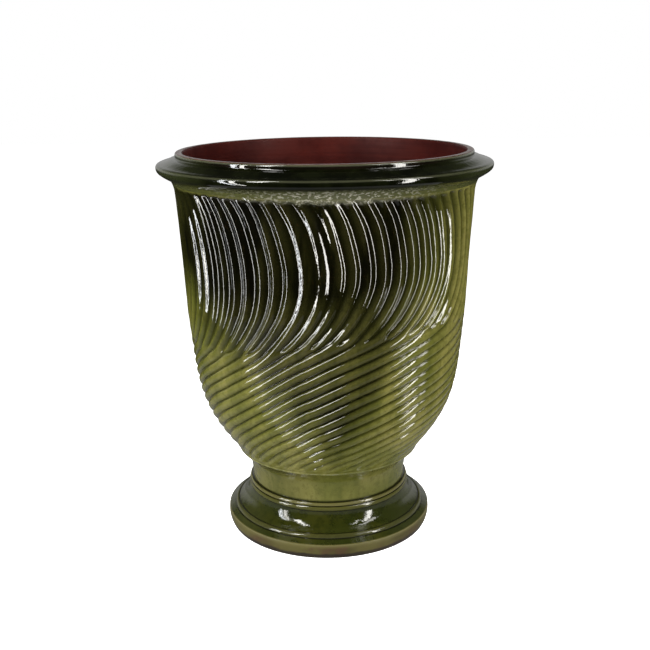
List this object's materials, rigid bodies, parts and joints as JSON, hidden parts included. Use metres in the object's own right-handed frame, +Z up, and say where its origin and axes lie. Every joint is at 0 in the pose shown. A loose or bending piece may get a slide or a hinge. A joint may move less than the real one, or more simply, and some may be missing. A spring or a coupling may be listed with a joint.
{
  "type": "glazed garden vase",
  "caption": "Large footed terracotta garden vase with swirling hand-drawn flutes, a rolled rim, a waisted neck and a green lead-style glaze.",
  "frame": {"origin": "centre of the base, on the surface that the vase stands on", "axes": "+Z up along the axis of rotation; the vase is round, so +X and +Y are free"},
  "size_m": [0.4228, 0.4228, 0.5],
  "materials": {
    "green_glazed_clay": "gloss green glaze outside, satin red-brown inside, bare clay under the foot",
    "luting_slip": "matt fired clay slip"
  },
  "bodies": {
    "root": {"foot": "green_glazed_clay", "slip_foot_neck": "luting_slip", "neck_collar": "green_glazed_clay", "slip_neck_bowl": "luting_slip", "lower_bowl": "green_glazed_clay", "slip_bowl_wall": "luting_slip", "upper_wall": "green_glazed_clay", "slip_wall_rim": "luting_slip", "rim_ring": "green_glazed_clay"}
  },
  "joints": []
}
